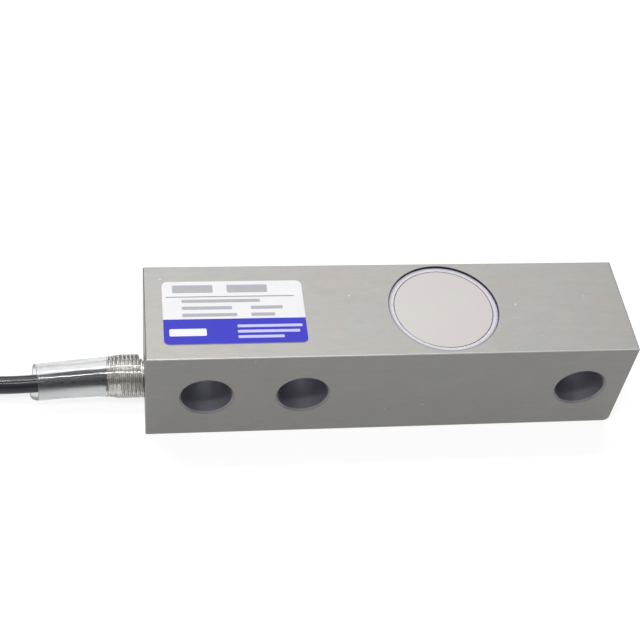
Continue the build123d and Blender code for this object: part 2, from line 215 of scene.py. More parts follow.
def ground_steel():
    """Ground alloy steel with a matt nickel plate: even grey, with faint warm and cool patches,
    lengthwise grinding lines and a few small handling nicks. The lines are drawn about 0.15 mm
    apart, coarser than real ones, so that they show."""
    material, tree, shader, place = start_material("ground nickel-plated steel", 0.78, 0.4)
    patches = noise(tree, place, (0.6, 1.0, 1.0), 0.13, 2.0)
    clouds = noise(tree, place, (0.35, 1.0, 1.0), 0.4, 3.0)
    lines = noise(tree, place, (0.06, 1.0, 1.0), 7.0, 5.0)
    nicks = noise(tree, place, (0.8, 1.0, 1.0), 0.75, 0.0)
    tinted = mix_colours(tree, ranged(tree, patches, 0.0, 1.0, 0.35, 0.65), "#878380", "#838583")
    cloudy = mix_colours(tree, ranged(tree, clouds, 0.0, 0.4, 0.3, 0.7), tinted, "#8F8C89")
    lined = mix_colours(tree, ranged(tree, lines, 0.0, 0.35, 0.35, 0.7), cloudy, "#7B7875")
    nicked = mix_colours(tree, ranged(tree, nicks, 0.0, 0.5, 0.85, 0.88), lined, "#B4B1AE")

    # Countersinks of the bolt holes, with painted shade as a dark line at their outer edge, and the walls
    # inside them, bluish and painted lighter than the steel as painted light in the shaded bores
    nearest = None
    for hole_x in hole_places:
        reach = axis_distance(tree, place, (hole_x * to_mm, 0, mid_z * to_mm), (1, 0, 1))
        nearest = reach if nearest is None else maths(tree, "MINIMUM", nearest, reach)
    hole_r = hole_dia / 2 * to_mm
    sunk_r = hole_r + countersink * to_mm
    dark_edge = 0.05
    # Painted shade: a dark line round the outer edge of each countersink
    countersink_shade_line = mix_colours(tree, maths(tree, "LESS_THAN", nearest, sunk_r + dark_edge), nicked, "#6B696A")
    turned = mix_colours(tree, maths(tree, "LESS_THAN", nearest, sunk_r - dark_edge), countersink_shade_line, "#818082")
    wall_margin = 0.03
    # Painted light: the bore walls are lighter than the steel so that the shaded holes read brighter
    bore_painted_light = mix_colours(tree, maths(tree, "LESS_THAN", nearest, hole_r + wall_margin), turned, "#A6A6AE")

    # A painted highlight along the near long edge of the label face
    edge = axis_distance(tree, place, (0, beam_low.y * to_mm, beam_high.z * to_mm), (0, 1, 1))
    edge_highlight = mix_colours(tree, ranged(tree, edge, 1.0, 0.0, 0.16, 0.3), bore_painted_light, "#C6C4C0")

    # Painted shade: the wall and rim of the cover's recess are drawn dark and bluish
    recess = axis_distance(tree, place, (gauge_x * to_mm, 0, 0), (1, 1, 0))
    rim_width = 0.13
    recess_shade_mask = maths(tree, "LESS_THAN", recess, recess_dia / 2 * to_mm + rim_width)
    recess_shaded = mix_colours(tree, recess_shade_mask, edge_highlight, "#57515D")
    tree.links.new(recess_shaded, shader.inputs["Base Color"])
    tree.links.new(ranged(tree, lines, 0.37, 0.45), shader.inputs["Roughness"])
    bump(tree, shader, lines, 0.005, 0.4)
    return material


def rolled_steel():
    """Cold-rolled stainless steel disc: paler and more even than the ground beam. Its rolling
    grain is drawn at about 0.12 mm, coarser than it is, so that it shows."""
    material, tree, shader, place = start_material("cold-rolled stainless steel", 0.7, 0.42)
    clouds = noise(tree, place, (1.0, 1.0, 1.0), 0.12, 2.0)
    grain = noise(tree, place, (0.2, 1.0, 1.0), 8.0, 3.0)
    cloudy = mix_colours(tree, ranged(tree, clouds, 0.0, 1.0, 0.35, 0.65), "#A09B9B", "#A09D9A")
    toned = mix_colours(tree, ranged(tree, grain, 0.0, 0.3, 0.4, 0.7), cloudy, "#959190")
    tree.links.new(toned, shader.inputs["Base Color"])
    tree.links.new(ranged(tree, grain, 0.38, 0.46), shader.inputs["Roughness"])
    bump(tree, shader, grain, 0.003, 0.4)
    return material


def weld_metal():
    """Laser-welded steel bead: bright and smooth in the middle, with a thin heat-tinted line at its inner
    edge, and painted shade that turns it lilac-grey and then dark towards its outer edge by the recess
    wall. Faint ripples run across it."""
    material, tree, shader, place = start_material("laser weld bead", 1.0, 0.34)
    mottling = noise(tree, place, (1.0, 1.0, 1.0), 1.6, 3.0)
    bright = mix_colours(tree, ranged(tree, mottling, 0.0, 1.0, 0.3, 0.7), "#8E8D90", "#A09FA2")
    reach = axis_distance(tree, place, (gauge_x * to_mm, 0, 0), (1, 1, 0))
    wavering = maths(tree, "ADD", reach, ranged(tree, mottling, -0.08, 0.08, 0.3, 0.7))
    inner_r = bead_inner_r * to_mm
    outer_r = bead_outer_r * to_mm
    outward = ranged(tree, wavering, 0.0, 1.0, inner_r + 0.5, outer_r - 0.15)
    # Painted shade: lilac-grey towards the outer edge and dark at it, by the recess wall; the thin line at
    # the inner edge is heat tint
    shaded_towards_wall = mix_colours(tree, outward, bright, "#7A7680")
    inner_edge = ranged(tree, wavering, 1.0, 0.0, inner_r + 0.05, inner_r + 0.17)
    outer_edge = ranged(tree, wavering, 0.0, 1.0, outer_r - 0.23, outer_r - 0.09)
    seamed = mix_colours(tree, inner_edge, shaded_towards_wall, "#7D7983")
    toned = mix_colours(tree, outer_edge, seamed, "#4C4851")
    tree.links.new(toned, shader.inputs["Base Color"])
    tree.links.new(ranged(tree, mottling, 0.28, 0.4), shader.inputs["Roughness"])
    bump(tree, shader, mottling, 0.02, 0.4)
    return material


def nickel_brass():
    """Nickel-plated brass, machined: warm metal with fine turning marks and some tarnish."""
    material, tree, shader, place = start_material("nickel-plated brass", 1.0, 0.22)
    turning = noise(tree, place, (1.0, 0.2, 0.2), 9.0, 3.0)
    tarnish = noise(tree, place, (1.0, 1.0, 1.0), 0.9, 3.0)
    toned = mix_colours(tree, ranged(tree, tarnish, 0.0, 1.0, 0.35, 0.75), "#DEDCD6", "#B4B1AB")
    tree.links.new(toned, shader.inputs["Base Color"])
    tree.links.new(ranged(tree, turning, 0.16, 0.32), shader.inputs["Roughness"])
    bump(tree, shader, turning, 0.006, 0.5)
    return material


def clear_pvc():
    """Clear soft PVC tube, extruded: see-through and shiny, cloudy on its lower side, with dull
    ends where it was cut."""
    material, tree, shader, place = start_material("clear soft PVC", 0.0, 0.06)
    shader.inputs["IOR"].default_value = 1.5
    shader.inputs["Transmission Weight"].default_value = 1.0
    haze = noise(tree, place, (0.3, 1.0, 1.0), 1.2, 4.0)
    clear = mix_colours(tree, haze, "#E6E6E7", "#E0E1E1")

    # Pressed against the thread the wall is clearer than where it hangs free
    spot = add_node(tree, "ShaderNodeSeparateXYZ", {"Vector": place}).outputs
    mouth_x = (cable_end_x - nipple_reach) * to_mm
    axis_z = gland_z * to_mm
    free = ranged(tree, spot["X"], 1.0, 0.25, mouth_x - 1.0, mouth_x + 1.0)
    lower_side = ranged(tree, spot["Z"], 1.0, 0.0, axis_z + 0.8, axis_z + 3.4)
    cloudy = maths(tree, "MULTIPLY", free, lower_side)

    # The cut ends are where the surface faces along the tube
    normal = add_node(tree, "ShaderNodeTexCoord").outputs["Normal"]
    facing = add_node(tree, "ShaderNodeSeparateXYZ", {"Vector": normal}).outputs["X"]
    cut = maths(tree, "GREATER_THAN", maths(tree, "ABSOLUTE", facing), 0.85)
    clouded = mix_colours(tree, cloudy, clear, "#F2F4F4")
    tree.links.new(mix_colours(tree, cut, clouded, "#B8BBBB"), shader.inputs["Base Color"])

    smooth = maths(tree, "MULTIPLY", ranged(tree, haze, 0.04, 0.12, 0.3, 0.7), free)
    hazed = maths(tree, "ADD", smooth, maths(tree, "MULTIPLY", cloudy, 0.34))
    dulled = maths(tree, "MAXIMUM", hazed, maths(tree, "MULTIPLY", cut, 0.5))
    tree.links.new(dulled, shader.inputs["Roughness"])
    bump(tree, shader, haze, 0.01, 0.25)
    return material


def jacket():
    """Black polyurethane cable jacket, extruded: smooth and glossy, faintly bluish."""
    material, tree, shader, place = start_material("black polyurethane", 0.0, 0.2)
    shader.inputs["IOR"].default_value = 1.45
    streaks = noise(tree, place, (0.1, 1.0, 1.0), 2.2, 4.0)
    toned = mix_colours(tree, streaks, "#12121F", "#1C1C2E")
    tree.links.new(toned, shader.inputs["Base Color"])
    tree.links.new(ranged(tree, streaks, 0.12, 0.24, 0.3, 0.7), shader.inputs["Roughness"])
    bump(tree, shader, streaks, 0.03, 0.3)
    return material


def moulded_black(name, roughness):
    """A black moulded or shrunk plastic with a fine dull grain."""
    material, tree, shader, place = start_material(name, 0.0, roughness)
    grain = noise(tree, place, (1.0, 1.0, 1.0), 5.0, 3.0)
    toned = mix_colours(tree, grain, "#1B1B1D", "#2A2A2D")
    tree.links.new(toned, shader.inputs["Base Color"])
    tree.links.new(ranged(tree, grain, roughness - 0.06, roughness + 0.08), shader.inputs["Roughness"])
    bump(tree, shader, grain, 0.02, 0.3)
    return material


def label_film():
    """Printed polyester film: smooth white, with a faint tone from the steel's grain below."""
    material, tree, shader, place = start_material("white polyester film", 0.0, 0.4)
    shader.inputs["IOR"].default_value = 1.4
    clouds = noise(tree, place, (0.4, 1.0, 1.0), 0.25, 3.0)
    grain = noise(tree, place, (0.2, 1.0, 1.0), 5.0, 3.0)
    white = mix_colours(tree, ranged(tree, clouds, 0.0, 1.0, 0.3, 0.7), "#E4E4E6", "#EAEAEC")
    toned = mix_colours(tree, ranged(tree, grain, 0.0, 0.3), white, "#DDDCE0")
    tree.links.new(toned, shader.inputs["Base Color"])
    bump(tree, shader, clouds, 0.02, 0.4)
    return material


def printing_ink(name, dark, light):
    """Screen-printed ink on the film: flat colour, very slightly uneven."""
    material, tree, shader, place = start_material(name, 0.0, 0.5)
    shader.inputs["IOR"].default_value = 1.35
    unevenness = noise(tree, place, (1.0, 1.0, 1.0), 1.2, 4.0)
    tree.links.new(mix_colours(tree, unevenness, dark, light), shader.inputs["Base Color"])
    return material


def wire_cover(name, dark, light, bare_from=None):
    """PVC wire insulation; past bare_from, in metres along X, the tinned strands show."""
    material, tree, shader, place = start_material(name, 0.0, 0.38)
    unevenness = noise(tree, place, (0.3, 1.0, 1.0), 2.0, 3.0)
    colour = mix_colours(tree, unevenness, dark, light)
    if bare_from is not None:
        along = add_node(tree, "ShaderNodeSeparateXYZ", {"Vector": place}).outputs["X"]
        bare = maths(tree, "LESS_THAN", along, bare_from * to_mm)
        strands = noise(tree, place, (0.2, 4.0, 4.0), 3.0, 2.0)
        tin = mix_colours(tree, strands, "#9A9A9C", "#C4C4C6")
        colour = mix_colours(tree, bare, colour, tin)
        tree.links.new(ranged(tree, bare, 0.0, 0.9), shader.inputs["Metallic"])
    tree.links.new(colour, shader.inputs["Base Color"])
    bump(tree, shader, unevenness, 0.01, 0.3)
    return material


def plain_grained(name, dark, light, metallic, roughness, scale):
    """A small inner part's finish: two tones of its own colour in a fine grain."""
    material, tree, shader, place = start_material(name, metallic, roughness)
    grain = noise(tree, place, (1.0, 1.0, 1.0), scale, 3.0)
    tree.links.new(mix_colours(tree, grain, dark, light), shader.inputs["Base Color"])
    bump(tree, shader, grain, 0.01, 0.3)
    return material


def finish_node(name, material):
    """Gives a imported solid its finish."""
    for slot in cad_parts[name].material_slots:
        slot.material = material


def fit_piece(name, material):
    """Names the piece just made, lays its place into its mesh and fixes it to the beam."""
    piece = bpy.context.object
    piece.name = name
    piece.data.name = name
    bpy.ops.object.transform_apply(location=True, rotation=True, scale=True)
    piece.data.materials.clear()
    piece.data.materials.append(material)
    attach(piece, "root")
    bpy.ops.object.select_all(action="DESELECT")
    return piece


def make_active(piece):
    """Selects one piece alone and makes it the one that operators act on."""
    bpy.ops.object.select_all(action="DESELECT")
    piece.select_set(True)
    bpy.context.view_layer.objects.active = piece


def edit_all():
    """Goes into edit mode with the whole mesh selected."""
    bpy.ops.object.mode_set(mode="EDIT")
    bpy.ops.mesh.select_all(action="SELECT")


def apply_modifier(kind, **settings):
    """Adds a modifier to the active piece and applies it."""
    piece = bpy.context.object
    modifier = piece.modifiers.new(kind.lower(), kind)
    for name, value in settings.items():
        setattr(modifier, name, value)
    bpy.ops.object.modifier_apply(modifier=modifier.name)


def cut_with(piece, tool, operation="DIFFERENCE"):
    """Cuts the piece with a tool body, which is then thrown away."""
    make_active(piece)
    apply_modifier("BOOLEAN", object=tool, operation=operation, solver="EXACT")
    bpy.data.objects.remove(tool)


def draw_line(points):
    """An open line of edges through the points, drawn by extruding one vertex."""
    bpy.ops.mesh.primitive_plane_add(size=0.001, location=(0, 0, 0))
    edit_all()
    bpy.ops.mesh.merge(type="CENTER")
    bpy.ops.transform.translate(value=points[0])
    for before, here in zip(points, points[1:]):
        step = Vector(here) - Vector(before)
        bpy.ops.mesh.extrude_region_move(TRANSFORM_OT_translate={"value": step})
    bpy.ops.object.mode_set(mode="OBJECT")
    return bpy.context.object


# Finishes
steel = ground_steel()
disc_steel = rolled_steel()
bead_metal = weld_metal()
brass = nickel_brass()
pvc = clear_pvc()
polyurethane = jacket()
tie_nylon = moulded_black("black nylon tie", 0.4)
shrink = moulded_black("black heat-shrink tube", 0.5)
seal_rubber = moulded_black("black nitrile rubber", 0.6)
film = label_film()
blue_ink = printing_ink("blue screen ink", "#2929B6", "#3131C0")
grey_ink = printing_ink("grey screen ink", "#7E7E86", "#8C8C93")
pale_ink = printing_ink("pale grey screen ink", "#A6A6AD", "#B2B2B8")
white_ink = printing_ink("white screen ink", "#E8E8F6", "#F0F0F8")
lilac_ink = printing_ink("pale lilac screen ink", "#BEBEEA", "#CACAF0")

# Cable: out of the gland, down to the floor and along it to the hank
cable_route = [
    (-0.0205, -0.0008, 0.0064),
    (-0.0405, -0.0008, 0.0064),
    (-0.0595, -0.0011, 0.0039),
    (-0.0735, 0.0003, 0.0025),
    (-0.0805, 0.0003, 0.0025),
]
# Under the near end of the hank, then across its open middle to the first side
hank_entry = [
    (-0.0920, 0.0003, 0.0025),
    (-0.1030, 0.0003, 0.0025),
    (-0.1120, -0.0030, 0.0026),
    (-0.1190, -0.0102, 0.0029),
    (-0.1270, -0.0144, 0.0031),
]


def hank_reach(turn):
    """Bend radius of a turn: the columns fill outwards, then inwards, row by row."""
    row, column = divmod(turn, hank_columns)
    if row % 2:
        column = hank_columns - 1 - column
    return hank_inner_bend + hank_pitch * column


def hank_level(turn):
    """Height of a turn's middle over the floor: the lowest row lies on the tie."""
    return tie_thickness + hank_pitch * (turn // hank_columns + 0.5)


def hank_place(x, y, z):
    """A point of the hank, lifted at the near end so that the cable can pass below."""
    lift = hank_pitch * smooth_share(hank_lift_from, hank_lift_to, x)
    return (hank_x + x, hank_y + y, z + lift)


def hank_route():
    """Control points of the folded cable, turn after turn from the floor up."""
    points = list(hank_entry)
    turns = hank_columns * hank_rows
    bend_points = 6
    bend_step = pi / bend_points
    outside = 1 / cos(bend_step / 2)
    bend_angles = [pi / 2 - bend_step * (place + 0.5) for place in range(bend_points)]
    # A turn that climbs to the next row swings out by this much, and the last turn rises on top
    swing = 0.0017
    last_rise = 0.0045
    for turn in range(turns):
        reach, level = hank_reach(turn), hank_level(turn)
        side_end = hank_straight / 2 - reach * tan(bend_step / 2)
        side = (side_end, 0.0, -side_end) if turn else (-side_end,)
        points += [hank_place(x, -reach, level) for x in side]
        for angle in reversed(bend_angles):
            far_x = -hank_straight / 2 - reach * outside * cos(angle)
            points.append(hank_place(far_x, reach * outside * sin(angle), level))
        points += [hank_place(x, reach, level) for x in (-side_end, 0.0, side_end)]
        last = turn == turns - 1
        next_reach = hank_y - last_y if last else hank_reach(turn + 1)
        next_level = level + last_rise if last else hank_level(turn + 1)
        rises = next_level > level
        climb_to = 0.55 if last else 0.9
        shift_from, shift_to = (0.5, 1.0) if last else (0.1, 0.9)
        for angle in bend_angles:
            share = 0.5 - angle / pi
            climb = smooth_share(0.0, climb_to, share)
            shift = smooth_share(shift_from, shift_to, share)
            bulge = swing * sin(pi * climb) if rises else 0.0
            bend = (between(reach, next_reach, shift) + bulge) * outside
            near_x = hank_straight / 2 + bend * cos(angle)
            points.append(hank_place(near_x, bend * sin(angle), between(level, next_level, climb)))
    # The last stretch comes down onto the side's top and ends level
    points.append((hank_x + 0.0125, last_y, last_z + 0.0012))
    points += [(hank_x + x, last_y, last_z) for x in (0.0080, 0.0035)]
    points.append((jacket_end_x, last_y, last_z))
    return points


def lay_cable():
    """The whole cable as one smooth round curve."""
    points = cable_route + hank_route()
    bpy.ops.curve.primitive_nurbs_path_add(location=(0, 0, 0))
    cable = bpy.context.object
    spline = cable.data.splines[0]
    cable.data.splines.remove(spline)
    spline = cable.data.splines.new("NURBS")
    spline.points.add(len(points) - 1)
    for point, place in zip(spline.points, points):
        point.co = (*place, 1.0)
    spline.order_u = 3
    spline.use_endpoint_u = True
    spline.resolution_u = 8
    cable.data.resolution_u = 8
    cable.data.bevel_depth = cable_dia / 2
    cable.data.bevel_resolution = 10
    cable.data.use_fill_caps = True
    piece = fit_piece("jacketed_cable", polyurethane)
    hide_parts("cable", "cable_hank")
    return piece


def rounded_block(place, size, edge, segments):
    """A small block with rounded edges."""
    bpy.ops.mesh.primitive_cube_add(size=1.0, location=place)
    edit_all()
    bpy.ops.transform.resize(value=size)
    bpy.ops.mesh.bevel(offset=edge, segments=segments, affect="EDGES")
    bpy.ops.object.mode_set(mode="OBJECT")
    return bpy.context.object


def tie_band(name, node, turn):
    """A nylon tie: a rounded flat band round a bundle, with its lock and cut tail."""
    low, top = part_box(node)
    corner_bend = 0.0022
    bpy.ops.mesh.primitive_plane_add(size=1.0, location=(0, 0, 0))
    edit_all()
    bpy.ops.transform.resize(value=(tie_across, tie_high, 1.0))
    bpy.ops.mesh.bevel(offset=corner_bend, segments=6, affect="VERTICES")
    bpy.ops.mesh.delete(type="ONLY_FACE")
    bpy.ops.mesh.select_all(action="SELECT")
    bpy.ops.mesh.extrude_region_move(TRANSFORM_OT_translate={"value": (0, 0, tie_width)})
    bpy.ops.mesh.select_all(action="SELECT")
    bpy.ops.transform.translate(value=(0, 0, -tie_width / 2))
    bpy.ops.mesh.normals_make_consistent(inside=False)
    bpy.ops.object.mode_set(mode="OBJECT")
    apply_modifier("SOLIDIFY", thickness=tie_thickness, offset=-1.0)
    apply_modifier("BEVEL", width=0.00012, segments=2, limit_method="ANGLE", angle_limit=radians(50))
    band = bpy.context.object

    # Lock at one side's middle, with the tail's stub through it
    lock = rounded_block(
        (tie_across / 2 + 0.0011, 0, 0), size=(0.0030, 0.0046, 0.0052), edge=0.0005, segments=3
    )
    stub = rounded_block(
        (tie_across / 2 + 0.0010, 0.0030, 0), size=(0.0010, 0.0032, 0.0034), edge=0.0002, segments=2
    )
    make_active(band)
    lock.select_set(True)
    stub.select_set(True)
    bpy.ops.object.join()
    band.rotation_euler = turn
    band.location = (low + top) / 2
    bpy.ops.object.shade_smooth_by_angle(angle=radians(40))
    piece = fit_piece(name, tie_nylon)
    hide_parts(node)
    return piece


def threaded_nipple():
    """A tube with a real thread, its mouth chamfered and milled flat on two sides."""
    crest = thread_dia / 2
    root = crest - thread_depth
    merge_reach = 0.000005

    # One pitch of the profile, as shares of the pitch, wound on past both ends
    spare_turns = 2
    start_x = cable_end_x - nipple_reach - spare_turns * thread_pitch
    steps = ((0.0, crest), (0.2, crest), (0.55, root), (0.65, root), (1.0, crest))
    draw_line([(start_x + share * thread_pitch, 0, radius) for share, radius in steps])
    rod_length = nipple_reach + nipple_screwed
    turns = int(rod_length / thread_pitch) + 2 * spare_turns
    apply_modifier(
        "SCREW", axis="X", angle=2 * pi, screw_offset=thread_pitch, iterations=turns,
        steps=64, render_steps=64, use_merge_vertices=True, merge_threshold=merge_reach,
    )
    thread = bpy.context.object
    edit_all()
    bpy.ops.mesh.remove_doubles(threshold=merge_reach)
    for cut_x, side in ((cable_end_x - nipple_reach, -1), (cable_end_x + nipple_screwed, 1)):
        bpy.ops.mesh.select_all(action="SELECT")
        bpy.ops.mesh.bisect(
            plane_co=(cut_x, 0, 0), plane_no=(side, 0, 0), clear_outer=True, use_fill=True
        )
    bpy.ops.mesh.select_all(action="SELECT")
    bpy.ops.mesh.normals_make_consistent(inside=False)
    bpy.ops.object.mode_set(mode="OBJECT")

    # A chamfered rod, a hair larger, takes the sharp starts off the thread at the mouth
    hair = 0.00001
    chamfer = 0.0005
    rod_x = cable_end_x + (nipple_screwed - nipple_reach) / 2
    bpy.ops.mesh.primitive_cylinder_add(
        vertices=96, radius=crest + hair, depth=rod_length + 2 * hair,
        location=(rod_x, 0, 0), rotation=(0, pi / 2, 0),
    )
    rod = bpy.context.object
    apply_modifier("BEVEL", width=chamfer, segments=1, limit_method="ANGLE", angle_limit=radians(50))
    cut_with(thread, rod, "INTERSECT")

    bpy.ops.mesh.primitive_cylinder_add(
        vertices=64, radius=nipple_bore / 2, depth=3 * rod_length,
        location=(rod_x, 0, 0), rotation=(0, pi / 2, 0),
    )
    cut_with(thread, bpy.context.object)

    # Spanner flats on two sides of the mouth
    flat_out = (spanner_width + thread_dia) / 2
    for side in (-1, 1):
        bpy.ops.mesh.primitive_cube_add(size=1.0, location=(0, 0, 0))
        cutter = bpy.context.object
        cutter.scale = (2 * spanner_length, thread_dia, 2 * thread_dia)
        cutter.location = (
            cable_end_x - nipple_reach,
            side * flat_out * cos(spanner_turn),
            -side * flat_out * sin(spanner_turn),
        )
        cutter.rotation_euler = (-spanner_turn, 0, 0)
        cut_with(thread, cutter)
    make_active(thread)
    thread.location = (0, gland_y, gland_z)
    bpy.ops.object.shade_smooth_by_angle(angle=radians(28))
    piece = fit_piece("threaded_nipple", brass)
    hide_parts("cable_nipple")


def sleeve_section(reach):
    """Y and Z of the sleeve's centre, its outer and its inner radius, reach out from the beam."""
    near_beam, over_thread, at_mouth, at_end = 0.00592, 0.00548, 0.00522, 0.00499
    # The soft wall is pressed into the thread's grooves, nearly to their roots
    inner_over_thread, inner_free = 0.00432, 0.00405
    hanging_length = 0.0191
    end_aside, end_drop = 0.0004, 0.0013
    mouth = smooth_share(nipple_reach - 0.001, nipple_reach + 0.004, reach)
    droop = max(0.0, reach - nipple_reach) / hanging_length
    outer = between(near_beam, over_thread, smooth_share(0.0062, 0.0098, reach))
    outer = between(outer, at_mouth, mouth)
    outer = between(outer, at_end, smooth_share(0.014, 0.028, reach))
    inner = between(inner_over_thread, inner_free, mouth)
    return gland_y - end_aside * droop, gland_z - end_drop * droop ** 1.4, outer, inner


def clear_tube():
    """The soft tube: drawn ring by ring, its wall moulded over the thread, its ends cut by hand."""
    # Drawn a little past both cuts, out along the outer wall and back along the inner one
    first, last = -0.0006, 0.0325
    outer_wall, inner_wall = 2, 3
    ring_step = thread_pitch / 6
    count = int((last - first) / ring_step)
    reaches = [first + (last - first) * place / count for place in range(count + 1)]
    stations = [(reach, outer_wall) for reach in reaches]
    stations += [(reach, inner_wall) for reach in reversed(reaches)]
    y, z, radius = sleeve_section(first)[:3]
    bpy.ops.mesh.primitive_circle_add(
        vertices=96, radius=radius, location=(cable_end_x - first, y, z), rotation=(0, pi / 2, 0)
    )
    bpy.ops.object.transform_apply(location=True, rotation=True, scale=True)
    edit_all()
    before = (first, y, z, radius)
    for reach, wall in stations[1:]:
        section = sleeve_section(reach)
        here = (reach, section[0], section[1], section[wall])
        step = (before[0] - here[0], here[1] - before[1], here[2] - before[2])
        bpy.ops.mesh.extrude_region_move(TRANSFORM_OT_translate={"value": step})
        growth = here[3] / before[3]
        bpy.ops.transform.resize(
            value=(1, growth, growth), center_override=(cable_end_x - here[0], here[1], here[2])
        )
        before = here
    bpy.ops.object.mode_set(mode="OBJECT")
    tube = bpy.context.object

    # Join the last inner ring to the first outer ring
    edit_all()
    bpy.ops.mesh.select_all(action="DESELECT")
    bpy.ops.mesh.select_non_manifold()
    bpy.ops.mesh.bridge_edge_loops()
    bpy.ops.mesh.select_all(action="SELECT")
    bpy.ops.mesh.normals_make_consistent(inside=False)
    bpy.ops.object.mode_set(mode="OBJECT")

    # The thread shows through as a soft wave, and the free part of the wall is a little uneven
    thread_wave = 0.00004
    for vertex in tube.data.vertices:
        reach = cable_end_x - vertex.co.x
        y, z, outer, inner = sleeve_section(reach)
        spoke = Vector((0, vertex.co.y - y, vertex.co.z - z))
        if spoke.length < (outer + inner) / 2:
            continue
        angle = Vector((spoke.z, spoke.y)).angle_signed(Vector((1, 0)), 0.0)
        on_thread = 1 - smooth_share(0.0060, 0.0100, reach)
        wave = thread_wave * on_thread * cos(2 * pi * reach / thread_pitch + angle)
        free = smooth_share(nipple_reach, 0.018, reach)
        broad = 0.00003 * sin(3 * angle + reach * 260)
        narrow = 0.00002 * sin(2 * angle - reach * 420)
        vertex.co += spoke.normalized() * (wave + free * (broad + narrow))

    # Oblique cuts at both ends: how far out, their slopes along Y and Z, and the side cut off
    blade_size = 0.04
    for reach, slope_y, slope_z, side in ((0.00068, 0.091, 0.072, 1), (0.02894, 0.208, -0.121, -1)):
        y, z = sleeve_section(reach)[:2]
        facing = Vector((1, slope_y, slope_z)).normalized()
        bpy.ops.mesh.primitive_cube_add(size=blade_size, location=(0, 0, 0))
        blade = bpy.context.object
        blade.rotation_euler = facing.to_track_quat("X", "Z").to_euler()
        blade.location = Vector((cable_end_x - reach, y, z)) + facing * side * blade_size / 2
        cut_with(tube, blade)

    # The far end's underside was left longer
    longer_by = 0.0013
    for vertex in tube.data.vertices:
        reach = cable_end_x - vertex.co.x
        y, z = sleeve_section(reach)[:2]
        spoke = Vector((0, vertex.co.y - y, vertex.co.z - z))
        below = smooth_share(0.66, 1.0, -spoke.z / spoke.length)
        vertex.co.x -= longer_by * below * smooth_share(0.022, 0.029, reach)
    make_active(tube)
    apply_modifier("BEVEL", width=0.0001, segments=2, limit_method="ANGLE", angle_limit=radians(45))
    bpy.ops.object.shade_smooth_by_angle(angle=radians(40))
    piece = fit_piece("clear_tube", pvc)
    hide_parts("clear_sleeve")


def weld_bead(name, node, flip):
    """The bead round a cover: hollow on top, with slight waves along the run. It is drawn on
    the label's side, and flip mirrors it to the underside."""
    width = bead_outer_r - bead_inner_r
    inner_z = beam_high.z - bead_inner_depth
    outer_z = beam_high.z - bead_outer_depth
    hollow = 0.00005
    wave_height = 0.000012
    merge_reach = 0.000002
    top_steps = 6
    profile = []
    for place in range(top_steps + 1):
        share = place / top_steps
        dip = hollow * sin(pi * share)
        profile.append((bead_inner_r + width * share, 0, between(inner_z, outer_z, share) - dip))
    profile += [(bead_outer_r, 0, bead_base_z), (bead_inner_r, 0, bead_base_z), profile[0]]
    ring = draw_line([(gauge_x + x, y, z) for x, y, z in profile])
    edit_all()
    bpy.ops.mesh.remove_doubles(threshold=merge_reach)
    bpy.ops.mesh.select_all(action="SELECT")
    bpy.ops.mesh.spin(steps=180, angle=2 * pi, center=(gauge_x, 0, 0), axis=(0, 0, 1))
    bpy.ops.mesh.select_all(action="SELECT")
    bpy.ops.mesh.remove_doubles(threshold=merge_reach)
    bpy.ops.mesh.normals_make_consistent(inside=False)
    bpy.ops.object.mode_set(mode="OBJECT")

    # Waves on the top face, which lies well above the bead's base
    for vertex in ring.data.vertices:
        spoke = Vector((vertex.co.x - gauge_x, vertex.co.y))
        angle = spoke.angle_signed(Vector((1, 0)), 0.0)
        share = (spoke.length - bead_inner_r) / width
        if 0.05 < share < 0.95 and vertex.co.z > inner_z - 0.0004:
            wave = sin(9 * angle) + 0.7 * sin(23 * angle + 1) + 0.5 * sin(61 * angle + 2)
            vertex.co.z += wave_height * wave * sin(pi * share)
    if flip:
        make_active(ring)
        edit_all()
        bpy.ops.transform.mirror(constraint_axis=(False, False, True), center_override=(0, 0, mid_z))
        bpy.ops.mesh.normals_make_consistent(inside=False)
        bpy.ops.object.mode_set(mode="OBJECT")
    bpy.ops.object.shade_smooth_by_angle(angle=radians(40))
    piece = fit_piece(name, bead_metal)
    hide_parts(node)


def print_field(name, material, left, right, low, high, corner, level=0, square_top=False):
    """A thin printed field on the label; left, right, low and high are in metres from its centre."""
    ink = 0.000012
    centre = (label_low + label_high) / 2
    middle_x = centre.x + (left + right) / 2
    middle_y = centre.y + (low + high) / 2
    bpy.ops.mesh.primitive_plane_add(size=1.0, location=(0, 0, 0))
    piece = bpy.context.object
    piece.scale = (right - left, high - low, 1.0)
    piece.location = (middle_x, middle_y, label_high.z + ink * level)
    bpy.ops.object.transform_apply(location=True, rotation=True, scale=True)
    edit_all()
    if square_top:
        bpy.ops.mesh.select_all(action="DESELECT")
        bpy.ops.object.mode_set(mode="OBJECT")
        for vertex in piece.data.vertices:
            vertex.select = vertex.co.y < middle_y
        bpy.ops.object.mode_set(mode="EDIT")
    bpy.ops.mesh.bevel(offset=corner, segments=5, affect="VERTICES")
    bpy.ops.mesh.select_all(action="SELECT")
    bpy.ops.mesh.extrude_region_move(TRANSFORM_OT_translate={"value": (0, 0, ink)})
    bpy.ops.mesh.select_all(action="SELECT")
    bpy.ops.mesh.normals_make_consistent(inside=False)
    bpy.ops.object.mode_set(mode="OBJECT")
    fit_piece(name, material)


